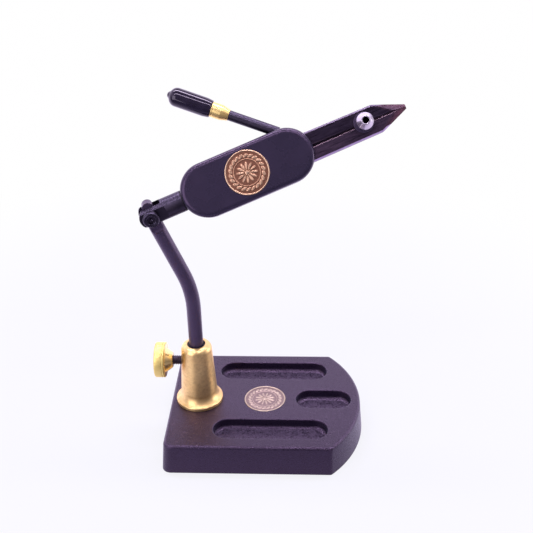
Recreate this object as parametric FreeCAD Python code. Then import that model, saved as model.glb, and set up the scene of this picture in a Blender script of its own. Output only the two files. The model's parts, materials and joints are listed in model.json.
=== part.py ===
import FreeCAD, Part
import math
import os

# Fly tying vise with a lever-opened spring jaw head on a leaning stem and a heavy flat base.
# Millimetres and degrees. The origin is on the pedestal axis, at the underside of the base pad.
# +Z is up and +X runs from the pedestal towards the rounded nose of the base.

# Clearances
running_clearance = 0.05
face_clearance = 0.1
free_clearance = 0.3
overcut = 1.0

# Base plate
base_width = 103.5
base_thickness = 20.5
base_rear_overhang = 19.1
base_straight_length = 109.4
base_nose_rise = 20.1
base_rear_corner_radius = 6.0
base_front_corner_radius = 3.0
base_edge_radius = 1.8
base_draft = 1.6

# Rubber pad let into the underside of the base
pad_thickness = 1.6
pad_stand = 0.4
pad_inset = 1.5

# Tool pockets in the base
pocket_width = 19.5
pocket_depth = 6.8
pocket_floor_radius = 2.5
pocket_lip_radius = 0.6
long_pocket_start = 12.2
long_pocket_front_margin = 2.3
long_pocket_offset = 32.5
short_pocket_front_margin = 6.2
short_pocket_length = 37.6

# Medallions
medallion_thickness = 1.8
medallion_stand = 0.2
medallion_rim_width = 0.9
medallion_dish = 0.3
medallion_seat_gap = 0.15
base_medallion_gap = 7.4
base_medallion_radius = 14.1
head_medallion_s = 64.8
head_medallion_radius = 13.7

# Brass pedestal
flange_radius = 15.9
flange_height = 2.6
flange_edge = 0.4
foot_radius = 12.2
foot_height = 9.4
shoulder_radius = 10.3
shoulder_drop = 4.5
pedestal_height = 45.4
pedestal_lip_width = 0.8
pedestal_floor = 10.0

# Screw that holds the pedestal from below
pedestal_screw_radius = 4.0
pedestal_screw_engagement = 8.0
pedestal_screw_head_radius = 6.5
pedestal_screw_head_height = 8.0
pedestal_screw_socket = 6.0
pedestal_screw_socket_depth = 4.0
counterbore_depth = 12.0

# Stem and its sleeve
stem_radius = 4.7625
sleeve_wall = 1.25
sleeve_slit = 1.2
sleeve_drop = 0.5
stem_lower_length = 62.1
stem_bend_radius = 76.0
stem_lean = 21.6
stem_upper_length = 46.6
stem_end_chamfer = 0.8

# Flat tongue at the top of the stem
tongue_thickness = 5.6
tongue_shoulder = 1.5
tongue_end_radius = 3.6
tongue_end_shift = 0.9
tongue_beyond_pivot = 5.7
tongue_below_pivot = 9.2
tongue_scoop_radius = 3.0

# Thumb screw
thumb_height = 32.0
thumb_stud_radius = 3.175
thumb_tip_length = 1.4
thumb_tip_radius = 2.9
thumb_tip_peg_radius = 1.2
thumb_tip_peg_length = 2.0
thumb_neck_length = 6.2
thumb_hub_length = 4.7
thumb_hub_end_radius = 5.1
thumb_hub_root_radius = 8.4
thumb_knob_radius = 11.9
thumb_knob_thickness = 7.0
thumb_knob_edge = 0.8
thumb_socket_margin = 2.0

# Pose of the stem and the head
stem_swivel = 13.2
head_tilt = 19.3
head_roll = 28.4

# Knuckle fork and the shaft that the head turns on
fork_radius = 6.65
fork_end_radius = 7.0
fork_slot_depth = 8.6
fork_length = 21.9
fork_flat_height = 5.2
fork_spotface_radius = 10.9
shaft_radius = 4.75
shaft_length = 27.0
shaft_groove_radius = 3.8
clip_radius = 6.4
clip_thickness = 1.2
clip_from_end = 2.5
clip_mouth = 6.0
washer_thickness = 0.95
washer_radius = 6.5

# Knuckle screw
knuckle_screw_radius = 3.175
knuckle_head_radius = 5.15
knuckle_head_height = 3.6
knuckle_head_edge = 2.2
knuckle_head_lip = 1.3
knuckle_socket = 4.76
knuckle_socket_depth = 2.6

# Head housing, measured along the head axis from the tilt pivot
housing_start = 21.8
housing_length = 86.0
housing_half_width = 17.05
housing_thickness = 16.2
housing_edge_radius = 3.2
housing_seat_depth = 1.1
cavity_rear_gap = 0.7
lever_slot_start = 68.5
lever_slot_end = 98.6
lever_slot_floor = 12.6

# Screws that join the two halves of the housing
housing_screw_radius = 1.5
housing_screw_head_radius = 2.5
housing_screw_head_height = 3.0
housing_screw_socket = 2.0
housing_screw_socket_depth = 1.6
housing_screw_reach = 5.0
housing_screw_sink = 1.0
housing_screw_spots = ((33.5, 9.5), (33.5, -9.5), (60.5, 12.8), (89.0, -13.5))

# Jaws, with their parting line a little below the head axis
jaw_rise = -0.4
jaw_thickness = 9.52
jaw_half_height = 9.05
jaw_taper = 0.55
jaw_relief = 0.8
jaw_tail = 78.0
upper_bevel_start = 149.5
lower_bevel_start = 150.8
jaw_tip = 169.0
jaw_tip_height = 1.4
jaw_tip_thickness = 3.6
jaw_cheek_foot = 161.5
jaw_chamfer = 1.0
jaw_parting_chamfer = 0.7
jaw_fulcrum = 141.5
jaw_fulcrum_rise = 0.8
jaw_gap = 0.1
jaw_rib_start = 95.0
jaw_rib_drop = 1.3
jaw_rib_thickness = 3.0
jaw_ear_radius = 5.5
jaw_ear_thickness = 3.2

# Fulcrum bolt, washer and cone nut
jaw_bolt_radius = 2.5
jaw_bolt_head_radius = 4.7
jaw_bolt_head_height = 2.7
jaw_bolt_socket = 3.0
jaw_bolt_socket_depth = 1.5
jaw_washer_radius = 6.35
jaw_washer_thickness = 0.9
nut_radius = 5.2
nut_rim_height = 7.0
nut_height = 12.0
nut_top_radius = 2.7
nut_mouth_radius = 2.0
nut_mouth_depth = 5.0

# Pins that fix the lower jaw in the housing
jaw_pin_radius = 1.5
jaw_pin_offset = 5.4
jaw_pin_places = (91.5, 103.0)
pin_half_length = 6.7

# Spring between the tails of the jaws
spring_s = 84.0
spring_radius = 2.2
spring_hole_radius = 2.6
spring_hole_depth = 4.0

# Lever and cam
lever_pin_s = 94.1
lever_pin_w = 13.5
lever_pin_radius = 1.5
lever_angle = 42.0
lever_swing = 25.0
jaw_swing = 1.5
cam_thickness = 8.0
cam_hub_radius = 2.8
cam_contact_s = 90.1
cam_sink = 0.65
lever_rod_radius = 3.175
lever_rod_start = 2.9
lever_rod_in_grip = 18.0
ferrule_start = 34.9
ferrule_length = 11.3
ferrule_small_radius = 3.45
ferrule_large_radius = 4.75
ferrule_taper_length = 5.0
grip_length = 28.3
grip_root_radius = 5.4
grip_radius = 5.9
grip_swell = 4.0
grip_dome = 5.0
grip_nipple_radius = 1.3
grip_nipple_length = 0.9

# Levels and lengths that follow from the sizes above
base_top = pad_stand + base_thickness
base_rear = -base_rear_overhang
base_corner_x = base_rear + base_straight_length
base_nose = base_corner_x + base_nose_rise
base_half_width = base_width / 2
pocket_radius = pocket_width / 2
long_pocket_length = base_corner_x - long_pocket_front_margin - long_pocket_start
short_pocket_start = base_nose - short_pocket_front_margin - short_pocket_length
base_medallion_x = short_pocket_start - base_medallion_gap - base_medallion_radius
sleeve_bore_radius = stem_radius + running_clearance
sleeve_radius = sleeve_bore_radius + sleeve_wall
pedestal_bore_radius = sleeve_radius + running_clearance
sleeve_bottom = base_top + pedestal_floor + face_clearance
sleeve_top = base_top + pedestal_height - sleeve_drop
stem_bottom = sleeve_bottom + free_clearance
bend_start = stem_bottom + stem_lower_length
lean = math.radians(stem_lean)
bend_end_x = -stem_bend_radius * (1 - math.cos(lean))
bend_end_z = bend_start + stem_bend_radius * math.sin(lean)
pivot_x = bend_end_x - stem_upper_length * math.sin(lean)
pivot_z = bend_end_z + stem_upper_length * math.cos(lean)
fork_slot = tongue_thickness + 2 * face_clearance
housing_end = housing_start + housing_length
housing_half_thickness = housing_thickness / 2
housing_seat = housing_start + housing_seat_depth
housing_screw_seat = housing_screw_head_height + housing_screw_sink - housing_half_thickness
shaft_end = housing_seat + shaft_length
clip_front = shaft_end - clip_from_end
clip_back = clip_front + clip_thickness
jaw_half_thickness = jaw_thickness / 2
jaw_slope = math.tan(math.radians(jaw_taper))
jaw_relief_slope = math.tan(math.radians(jaw_relief))
jaw_tail_height = jaw_half_height + (jaw_fulcrum - jaw_tail) * jaw_slope
cavity_rear = jaw_tail - cavity_rear_gap
cavity_half_thickness = jaw_half_thickness + free_clearance
cavity_top = jaw_tail_height - jaw_rise + free_clearance
lever_slot_half = cam_thickness / 2 + free_clearance
washer_face = jaw_half_thickness + running_clearance
jaw_half_swing = math.radians(lever_swing / 2)
cam_travel = (jaw_fulcrum - cam_contact_s) * math.tan(math.radians(jaw_swing))
cam_throw = cam_travel / (2 * math.sin(jaw_half_swing))
tail_at_cam = jaw_rise + jaw_half_height + (jaw_fulcrum - cam_contact_s) * jaw_slope
cam_rest_drop = lever_pin_w - tail_at_cam - face_clearance
cam_lobe_radius = cam_rest_drop + cam_throw * math.sin(jaw_half_swing)
grip_start = ferrule_start + ferrule_length

# A quarter round has its middle this share of the way in from each side of its corner
ARC_MIDDLE = 1 - math.sqrt(0.5)
TINY = 1e-4

# Directions
ORIGIN = FreeCAD.Vector(0, 0, 0)
ALONG_X = FreeCAD.Vector(1, 0, 0)
ALONG_Y = FreeCAD.Vector(0, 1, 0)
ALONG_Z = FreeCAD.Vector(0, 0, 1)


def point(x, y, z):
    return FreeCAD.Vector(x, y, z)


def outline(plane, start, *steps):
    """Face bounded by lines to points and, for a pair of points, an arc through the first."""
    def place(pair):
        if plane == "xz":
            return point(pair[0], 0, pair[1])
        return point(pair[0], pair[1], 0)

    edges = []
    here = start
    for step in steps:
        if isinstance(step[0], tuple):
            through, end = step
            edges.append(Part.Arc(place(here), place(through), place(end)).toShape())
        else:
            end = step
            edges.append(Part.LineSegment(place(here), place(end)).toShape())
        here = end
    if here != start:
        edges.append(Part.LineSegment(place(here), place(start)).toShape())
    return Part.Face(Part.Wire(edges))


def turned(start, *steps):
    """Solid of revolution about Z of an outline of radius and height."""
    return outline("xz", start, *steps).revolve(ORIGIN, ALONG_Z, 360)


def block(low, high):
    size = high - low
    return Part.makeBox(size.x, size.y, size.z, low)


def rod(radius, low, high, at=(0, 0)):
    """Cylinder along Z."""
    return Part.makeCylinder(radius, high - low, point(at[0], at[1], low), ALONG_Z)


def rod_along_x(radius, low, high):
    return Part.makeCylinder(radius, high - low, point(low, 0, 0), ALONG_X)


def hexagon(across_flats, low, high, at=(0, 0)):
    corner = across_flats / math.sqrt(3)
    corners = []
    for turn in range(6):
        angle = math.radians(60 * turn)
        corners.append(point(at[0] + corner * math.cos(angle), at[1] + corner * math.sin(angle), low))
    corners.append(corners[0])
    return Part.Face(Part.makePolygon(corners)).extrude(point(0, 0, high - low))


def stadium(low_x, high_x, y, radius, low, high):
    """Upright slot-shaped block with round ends, its long axis along X."""
    left = low_x + radius
    right = high_x - radius
    face = outline(
        "xy", (left, y - radius),
        (right, y - radius),
        ((right + radius, y), (right, y + radius)),
        (left, y + radius),
        ((left - radius, y), (left, y - radius)))
    face.translate(point(0, 0, low))
    return face.extrude(point(0, 0, high - low))


def level_edges(shape, level):
    """Edges that lie wholly at one height."""
    found = []
    for edge in shape.Edges:
        box = edge.BoundBox
        if abs(box.ZMin - level) < TINY and abs(box.ZMax - level) < TINY:
            found.append(edge)
    return found


def upright_edges(shape, x):
    """Vertical edges at one X."""
    found = []
    for edge in shape.Edges:
        box = edge.BoundBox
        if box.XLength < TINY and box.YLength < TINY and abs(box.XMin - x) < TINY:
            found.append(edge)
    return found


def inside_edges(edges, low_x, high_x, low_y, high_y):
    """Edges whose middle lies inside a rectangle seen from above."""
    found = []
    for edge in edges:
        middle = edge.CenterOfMass
        if low_x < middle.x < high_x and low_y < middle.y < high_y:
            found.append(edge)
    return found


# Frames of the stem, the knuckle and the head

def stem_frame():
    return FreeCAD.Placement(ORIGIN, FreeCAD.Rotation(ALONG_Z, stem_swivel))


def knuckle_frame():
    """X along the head, Y up from it and Z along the tilt axis, with the origin at the pivot."""
    upright = FreeCAD.Rotation(ALONG_X, 90)
    tilt = FreeCAD.Rotation(point(0, -1, 0), head_tilt)
    pivot = FreeCAD.Placement(point(pivot_x, 0, pivot_z), tilt.multiply(upright))
    return stem_frame().multiply(pivot)


def head_frame():
    """The knuckle frame rolled about the head axis, so that Z leaves the flat face."""
    roll = FreeCAD.Placement(ORIGIN, FreeCAD.Rotation(ALONG_X, -head_roll))
    return knuckle_frame().multiply(roll)


def jaw_frame():
    return head_frame().multiply(FreeCAD.Placement(point(0, jaw_rise, 0), FreeCAD.Rotation()))


def lever_frame():
    """Head frame moved to the lever pin, with Z along the lever."""
    angle = math.radians(180 - lever_angle)
    along = point(math.cos(angle), math.sin(angle), 0)
    lever = FreeCAD.Placement(point(lever_pin_s, lever_pin_w, 0), FreeCAD.Rotation(ALONG_Z, along))
    return head_frame().multiply(lever)


def thumb_frame():
    """Z points out of the pedestal along the thumb screw."""
    return FreeCAD.Placement(point(0, 0, base_top + thumb_height), FreeCAD.Rotation(ALONG_Y, -90))


# Base

def base_outline(inset, level):
    """Wire of the outline of the base, with rounded corners, at one height."""
    half = base_half_width - inset
    rear = base_rear + inset
    face = outline(
        "xy", (rear, -half),
        (base_corner_x, -half),
        ((base_nose - inset, 0), (base_corner_x, half)),
        (rear, half))
    solid = face.extrude(ALONG_Z)
    solid = solid.makeFillet(base_rear_corner_radius, upright_edges(solid, rear))
    solid = solid.makeFillet(base_front_corner_radius, upright_edges(solid, base_corner_x))
    wire = Part.Wire(Part.sortEdges(level_edges(solid, 0))[0])
    wire.translate(point(0, 0, level))
    return wire


def base_slab(inset, low, high):
    return Part.Face(base_outline(inset, low)).extrude(point(0, 0, high - low))


def pocket(start, length, y):
    floor = base_top - pocket_depth
    cut = stadium(start, start + length, y, pocket_radius, floor, base_top + overcut)
    return cut.makeFillet(pocket_floor_radius, level_edges(cut, floor))


def base_plate():
    plate = Part.makeLoft([base_outline(-base_draft, pad_stand), base_outline(0, base_top)], True, True)
    plate = plate.makeFillet(base_edge_radius, level_edges(plate, base_top))
    pockets = (
        (long_pocket_start, long_pocket_length, -long_pocket_offset),
        (long_pocket_start, long_pocket_length, long_pocket_offset),
        (short_pocket_start, short_pocket_length, 0))
    for start, length, y in pockets:
        plate = plate.cut(pocket(start, length, y))
        rim = inside_edges(
            level_edges(plate, base_top), start - overcut, start + length + overcut,
            y - pocket_radius - overcut, y + pocket_radius + overcut)
        plate = plate.makeFillet(pocket_lip_radius, rim)
    seat_floor = base_top - medallion_thickness + medallion_stand
    seat = rod(base_medallion_radius + medallion_seat_gap, seat_floor, base_top + overcut,
               (base_medallion_x, 0))
    recess = base_slab(pad_inset - running_clearance, 0, pad_thickness)
    hole = rod(pedestal_screw_radius + running_clearance, 0, base_top + overcut)
    counterbore = rod(pedestal_screw_head_radius + free_clearance, 0, pad_stand + counterbore_depth)
    return plate.cut(seat).cut(recess).cut(hole).cut(counterbore)


def base_pad():
    return base_slab(pad_inset, 0, pad_thickness)


def medallion(radius, low):
    """Plain disc with a raised rim, standing on a given level."""
    high = low + medallion_thickness
    disc = rod(radius, low, high)
    dish = rod(radius - medallion_rim_width, high - medallion_dish, high + overcut)
    return disc.cut(dish)


def base_medallion():
    disc = medallion(base_medallion_radius, base_top - medallion_thickness + medallion_stand)
    disc.translate(point(base_medallion_x, 0, 0))
    return disc


# Pedestal and thumb screw

def pedestal():
    top = base_top + pedestal_height
    shoulder = top - shoulder_drop
    lip = pedestal_bore_radius + pedestal_lip_width
    shoulder_through = (shoulder_radius - ARC_MIDDLE * (shoulder_radius - lip),
                        top - ARC_MIDDLE * shoulder_drop)
    flare_through = (foot_radius + ARC_MIDDLE * (flange_radius - foot_radius),
                     base_top + flange_height + ARC_MIDDLE * (foot_height - flange_height))
    body = turned(
        (0, base_top),
        (flange_radius - flange_edge, base_top),
        (flange_radius, base_top + flange_edge),
        (flange_radius, base_top + flange_height - flange_edge),
        (flange_radius - flange_edge, base_top + flange_height),
        (flare_through, (foot_radius, base_top + foot_height)),
        (shoulder_radius, shoulder),
        (shoulder_through, (lip, top)),
        (0, top))
    bore = rod(pedestal_bore_radius, base_top + pedestal_floor, top + overcut)
    thread = rod(pedestal_screw_radius, base_top - overcut, base_top + pedestal_screw_engagement)
    side = rod(thumb_stud_radius + running_clearance, 0, foot_radius + overcut)
    side.Placement = thumb_frame()
    return body.cut(bore).cut(thread).cut(side)


def pedestal_screw():
    seat = pad_stand + counterbore_depth
    head = rod(pedestal_screw_head_radius, seat - pedestal_screw_head_height, seat)
    shank = rod(pedestal_screw_radius, seat, base_top + pedestal_screw_engagement)
    socket_top = seat - pedestal_screw_head_height + pedestal_screw_socket_depth
    socket = hexagon(pedestal_screw_socket, seat - pedestal_screw_head_height - overcut, socket_top)
    return head.fuse(shank).cut(socket).removeSplitter()


def stem_sleeve():
    tube = rod(sleeve_radius, sleeve_bottom, sleeve_top)
    bore = rod(sleeve_bore_radius, sleeve_bottom - overcut, sleeve_top + overcut)
    slit = block(point(0, -sleeve_slit / 2, sleeve_bottom - overcut),
                 point(sleeve_radius + overcut, sleeve_slit / 2, sleeve_top + overcut))
    sleeve = tube.cut(bore).cut(slit)
    sleeve.Placement = stem_frame()
    return sleeve


def thumb_tip():
    """Soft tip that the thumb screw presses against the sleeve."""
    face = sleeve_radius + face_clearance
    tip = rod(thumb_tip_radius, face, face + thumb_tip_length)
    peg_end = face + thumb_tip_length + thumb_tip_peg_length
    peg = rod(thumb_tip_peg_radius, face + thumb_tip_length, peg_end)
    tip = tip.fuse(peg).removeSplitter()
    tip.Placement = thumb_frame()
    return tip


def stud_start():
    return sleeve_radius + face_clearance + thumb_tip_length + face_clearance


def knob_hub_end():
    return shoulder_radius + thumb_neck_length


def knob_face():
    return knob_hub_end() + thumb_hub_length


def thumb_stud():
    end = knob_face() + thumb_knob_thickness - thumb_socket_margin
    stud = rod(thumb_stud_radius, stud_start(), end)
    peg_hole = rod(thumb_tip_peg_radius + running_clearance, stud_start() - overcut,
                   stud_start() + thumb_tip_peg_length)
    stud = stud.cut(peg_hole)
    stud.Placement = thumb_frame()
    return stud


def thumb_knob():
    hub_end = knob_hub_end()
    face = knob_face()
    back = face + thumb_knob_thickness
    knob = turned(
        (0, hub_end),
        (thumb_hub_end_radius, hub_end),
        (thumb_hub_root_radius, face),
        (thumb_knob_radius - thumb_knob_edge, face),
        (thumb_knob_radius, face + thumb_knob_edge),
        (thumb_knob_radius, back - thumb_knob_edge),
        (thumb_knob_radius - thumb_knob_edge, back),
        (0, back))
    knob = knob.cut(rod(thumb_stud_radius, hub_end - overcut, back - thumb_socket_margin))
    knob.Placement = thumb_frame()
    return knob


# Stem

def stem():
    bend_middle_x = -stem_bend_radius * (1 - math.cos(lean / 2))
    bend_middle_z = bend_start + stem_bend_radius * math.sin(lean / 2)
    foot = point(0, 0, stem_bottom)
    start = point(0, 0, bend_start)
    middle = point(bend_middle_x, 0, bend_middle_z)
    end = point(bend_end_x, 0, bend_end_z)
    along = point(-math.sin(lean), 0, math.cos(lean))
    pivot = point(pivot_x, 0, pivot_z)
    lower = Part.makeCylinder(stem_radius, stem_lower_length, foot, ALONG_Z)
    lower = lower.makeChamfer(stem_end_chamfer, level_edges(lower, stem_bottom))
    path = Part.Wire([Part.Arc(start, middle, end).toShape()])
    ring = Part.Wire([Part.Circle(start, ALONG_Z, stem_radius).toShape()])
    bend = path.makePipeShell([ring], True, False)
    crown = tongue_beyond_pivot + tongue_end_radius
    upper = Part.makeCylinder(stem_radius, stem_upper_length + crown, end, along)
    half = tongue_thickness / 2
    upright = FreeCAD.Placement(pivot, FreeCAD.Rotation(ALONG_Y, -stem_lean))
    # The end narrows and is rounded in the plane of the tilt
    narrowing = outline(
        "xz", (-stem_radius, -2 * stem_upper_length),
        (-stem_radius, tongue_shoulder),
        (tongue_end_shift - tongue_end_radius, tongue_beyond_pivot),
        ((tongue_end_shift, crown), (tongue_end_shift + tongue_end_radius, tongue_beyond_pivot)),
        (stem_radius, tongue_shoulder),
        (stem_radius, -2 * stem_upper_length))
    narrowing.translate(point(0, -stem_radius, 0))
    narrowing = narrowing.extrude(point(0, 2 * stem_radius, 0))
    narrowing.Placement = upright
    upper = upper.common(narrowing)
    # The flats run up from a scooped shoulder on both sides
    room = 2 * stem_radius
    for side in (-1, 1):
        inner = min(side * half, side * room)
        outer = max(side * half, side * room)
        flat = block(point(-room, inner, -tongue_below_pivot), point(room, outer, 2 * room))
        scoop = Part.makeCylinder(
            tongue_scoop_radius, 2 * room,
            point(-room, side * (half + tongue_scoop_radius), -tongue_below_pivot), ALONG_X)
        cutter = flat.fuse(scoop)
        cutter.Placement = upright
        upper = upper.cut(cutter)
    body = lower.fuse(bend).fuse(upper).removeSplitter()
    hole_radius = knuckle_screw_radius + running_clearance
    hole = Part.makeCylinder(hole_radius, 4 * half, pivot - ALONG_Y * 2 * half, ALONG_Y)
    body = body.cut(hole)
    body.Placement = stem_frame()
    return body


# Knuckle

def knuckle_fork():
    reach = fork_end_radius + overcut
    bar = rod_along_x(fork_radius, 0, fork_length)
    nose = rod_along_x(fork_radius, -fork_end_radius, 0)
    nose = nose.common(rod(fork_end_radius, -reach, reach))
    shaft = rod_along_x(shaft_radius, fork_length, shaft_end)
    groove = rod_along_x(shaft_radius + overcut, clip_front, clip_back)
    groove = groove.cut(rod_along_x(shaft_groove_radius, clip_front - overcut, clip_back + overcut))
    body = bar.fuse(nose).fuse(shaft).cut(groove)
    slot = block(point(-reach, -reach, -fork_slot / 2), point(fork_slot_depth, reach, fork_slot / 2))
    spotface = rod(fork_spotface_radius, fork_flat_height, reach)
    hole = rod(knuckle_screw_radius, -reach, reach)
    body = body.cut(slot).cut(spotface).cut(hole).removeSplitter()
    body.Placement = knuckle_frame()
    return body


def knuckle_screw():
    low = fork_flat_height
    high = low + knuckle_head_height
    crown_radius = knuckle_socket / 2 + knuckle_head_lip
    dome_through = (knuckle_head_radius - ARC_MIDDLE * (knuckle_head_radius - crown_radius),
                    high - ARC_MIDDLE * (knuckle_head_height - knuckle_head_edge))
    head = turned(
        (0, low),
        (knuckle_head_radius, low),
        (knuckle_head_radius, low + knuckle_head_edge),
        (dome_through, (crown_radius, high)),
        (0, high))
    shank_end = -math.sqrt(fork_radius ** 2 - knuckle_screw_radius ** 2)
    shank = rod(knuckle_screw_radius, shank_end, low)
    socket = hexagon(knuckle_socket, high - knuckle_socket_depth, high + overcut)
    screw = head.fuse(shank).cut(socket).removeSplitter()
    screw.Placement = knuckle_frame()
    return screw


def shaft_clip():
    """Open ring that keeps the head on its shaft."""
    ring = rod_along_x(clip_radius, clip_front, clip_back)
    ring = ring.cut(rod_along_x(shaft_groove_radius, clip_front - overcut, clip_back + overcut))
    mouth = block(point(clip_front - overcut, -clip_radius - overcut, -clip_mouth / 2),
                  point(clip_back + overcut, 0, clip_mouth / 2))
    ring = ring.cut(mouth)
    ring.Placement = knuckle_frame()
    return ring


def shaft_washer():
    low = housing_seat - washer_thickness
    ring = rod_along_x(washer_radius, low, housing_seat)
    ring = ring.cut(rod_along_x(shaft_radius + running_clearance, low - overcut, housing_seat + overcut))
    ring.Placement = head_frame()
    return ring


# Housing

def housing_hollows():
    """Everything that both halves of the housing leave free."""
    half = housing_half_thickness
    seat = rod_along_x(fork_radius + free_clearance, housing_start - overcut, housing_seat)
    bore = rod_along_x(shaft_radius + running_clearance, housing_start - overcut, shaft_end + free_clearance)
    room = rod_along_x(clip_radius + free_clearance, clip_front - free_clearance,
                       shaft_end + free_clearance)
    cavity = block(point(cavity_rear, -cavity_top, -cavity_half_thickness),
                   point(housing_end + overcut, cavity_top, cavity_half_thickness))
    swing = block(point(lever_slot_start, lever_slot_floor, -lever_slot_half),
                  point(lever_slot_end, housing_half_width + overcut, lever_slot_half))
    well = block(point(cavity_rear, 0, -lever_slot_half),
                 point(lever_slot_end, housing_half_width + overcut, lever_slot_half))
    hollows = [seat, bore, room, cavity, swing, well]
    hollows.append(rod(lever_pin_radius, -pin_half_length, pin_half_length, (lever_pin_s, lever_pin_w)))
    for place in jaw_pin_places:
        spot = (place, jaw_rise - jaw_pin_offset)
        hollows.append(rod(jaw_pin_radius, -pin_half_length, pin_half_length, spot))
    for spot in housing_screw_spots:
        hollows.append(rod(housing_screw_radius, -half - overcut, housing_screw_reach, spot))
        hollows.append(rod(housing_screw_head_radius + running_clearance, -half - overcut,
                           housing_screw_seat, spot))
    return hollows


def housing():
    half = housing_half_thickness
    body = stadium(housing_start, housing_end, 0, housing_half_width, -half, half)
    body = body.makeFillet(housing_edge_radius, level_edges(body, half) + level_edges(body, -half))
    for hollow in housing_hollows():
        body = body.cut(hollow)
    return body


def housing_side(low, high):
    return block(point(housing_start - overcut, -housing_half_width - overcut, low),
                 point(housing_end + overcut, housing_half_width + overcut, high))


def head_shell_front():
    half = housing_half_thickness
    shell = housing().common(housing_side(0, half + overcut))
    seat_floor = half - medallion_thickness + medallion_stand
    seat = rod(head_medallion_radius + medallion_seat_gap, seat_floor, half + overcut, (head_medallion_s, 0))
    shell = shell.cut(seat)
    shell.Placement = head_frame()
    return shell


def head_shell_back():
    shell = housing().common(housing_side(-housing_half_thickness - overcut, 0))
    shell.Placement = head_frame()
    return shell


def head_screws():
    low = housing_screw_seat - housing_screw_head_height
    screws = []
    for spot in housing_screw_spots:
        head = rod(housing_screw_head_radius, low, housing_screw_seat, spot)
        shank = rod(housing_screw_radius, housing_screw_seat, housing_screw_reach, spot)
        socket = hexagon(housing_screw_socket, low - overcut, low + housing_screw_socket_depth, spot)
        screws.append(head.fuse(shank).cut(socket).removeSplitter())
    group = Part.makeCompound(screws)
    group.Placement = head_frame()
    return group


def head_medallion():
    disc = medallion(head_medallion_radius, housing_half_thickness - medallion_thickness + medallion_stand)
    disc.translate(point(head_medallion_s, 0, 0))
    disc.Placement = head_frame().multiply(disc.Placement)
    return disc


# Jaws

def long_edges(bar, half, low_y, high_y):
    """Lengthwise edges of both flat faces of a bar, between two heights."""
    found = []
    for edge in level_edges(bar, half) + level_edges(bar, -half):
        if edge.BoundBox.XLength > TINY and low_y < edge.CenterOfMass.y < high_y:
            found.append(edge)
    return found


def jaw_bar(bevel_start):
    """Upper jaw bar without its fulcrum ear; the lower one is a mirror image."""
    half = jaw_half_thickness
    split = jaw_gap / 2
    tail_split = split + (jaw_fulcrum - jaw_tail) * jaw_relief_slope
    outer_at_bevel = jaw_half_height + (jaw_fulcrum - bevel_start) * jaw_slope
    face = outline(
        "xy", (jaw_tip, split),
        (jaw_tip, jaw_tip_height),
        (bevel_start, outer_at_bevel),
        (jaw_tail, jaw_tail_height),
        (jaw_tail, tail_split),
        (jaw_fulcrum, split))
    face.translate(point(0, 0, -half))
    bar = face.extrude(point(0, 0, 2 * half))
    bar = bar.makeChamfer(jaw_chamfer, long_edges(bar, half, jaw_tip_height, jaw_tail_height))
    bar = bar.makeChamfer(jaw_parting_chamfer, long_edges(bar, half, 0, jaw_tip_height))
    # A slanting cheek on each face thins the bar towards its tip
    corner = point(bevel_start, outer_at_bevel, half)
    foot = point(jaw_cheek_foot, split, half)
    tip = point(jaw_tip, jaw_tip_height, jaw_tip_thickness / 2)
    reach = jaw_tip - jaw_fulcrum
    cheek = block(point(-reach, -reach, 0), point(reach, reach, reach))
    outward = (foot - corner).cross(tip - corner)
    cheek.Placement = FreeCAD.Placement(corner, FreeCAD.Rotation(ALONG_Z, outward))
    bar = bar.cut(cheek).cut(cheek.mirror(ORIGIN, ALONG_Z))
    return bar


def jaw_rib(start, drop, slope, half):
    """Block along the parting line, from a start to the fulcrum, that reaches below the line."""
    face = outline(
        "xy", (start, jaw_rib_drop),
        (start, -drop - (jaw_fulcrum - start) * slope),
        (jaw_fulcrum, -drop),
        (jaw_fulcrum, jaw_rib_drop))
    face.translate(point(0, 0, -half))
    return face.extrude(point(0, 0, 2 * half))


def fulcrum_disc(radius, low, high):
    return rod(radius, low, high, (jaw_fulcrum, jaw_fulcrum_rise))


def upper_jaw():
    half = jaw_half_thickness
    ear_half = jaw_ear_thickness / 2
    jaw = jaw_bar(upper_bevel_start)
    room = jaw_ear_radius + free_clearance
    jaw = jaw.fuse(jaw_rib(jaw_rib_start, jaw_rib_drop, 0, jaw_rib_thickness / 2))
    jaw = jaw.cut(fulcrum_disc(room, ear_half, half + overcut))
    jaw = jaw.cut(fulcrum_disc(room, -half - overcut, -ear_half))
    jaw = jaw.fuse(fulcrum_disc(jaw_ear_radius, -ear_half, ear_half))
    jaw = jaw.cut(fulcrum_disc(jaw_bolt_radius + running_clearance, -half, half))
    jaw = jaw.cut(spring_hole(1)).removeSplitter()
    jaw.Placement = jaw_frame()
    return jaw


def lower_jaw():
    half = jaw_half_thickness
    ear_gap = jaw_ear_thickness / 2 + face_clearance
    jaw = jaw_bar(lower_bevel_start).mirror(ORIGIN, ALONG_Y)
    room = jaw_ear_radius + free_clearance
    # The groove leaves room for the rib of the upper jaw as the jaws open
    groove_half = jaw_rib_thickness / 2 + face_clearance
    swing_slope = math.tan(math.radians(jaw_swing))
    groove_start = jaw_rib_start - free_clearance
    jaw = jaw.cut(jaw_rib(groove_start, jaw_rib_drop + free_clearance, swing_slope, groove_half))
    jaw = jaw.cut(fulcrum_disc(room, -ear_gap, ear_gap))
    jaw = jaw.fuse(fulcrum_disc(jaw_ear_radius, ear_gap, half))
    jaw = jaw.fuse(fulcrum_disc(jaw_ear_radius, -half, -ear_gap))
    jaw = jaw.cut(fulcrum_disc(jaw_bolt_radius, -half - overcut, half + overcut))
    for place in jaw_pin_places:
        jaw = jaw.cut(rod(jaw_pin_radius, -half - overcut, half + overcut, (place, -jaw_pin_offset)))
    jaw = jaw.cut(spring_hole(-1)).removeSplitter()
    jaw.Placement = jaw_frame()
    return jaw


def spring_split():
    """Height of the parting face of the upper jaw where the spring sits."""
    return jaw_gap / 2 + (jaw_fulcrum - spring_s) * jaw_relief_slope


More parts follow.
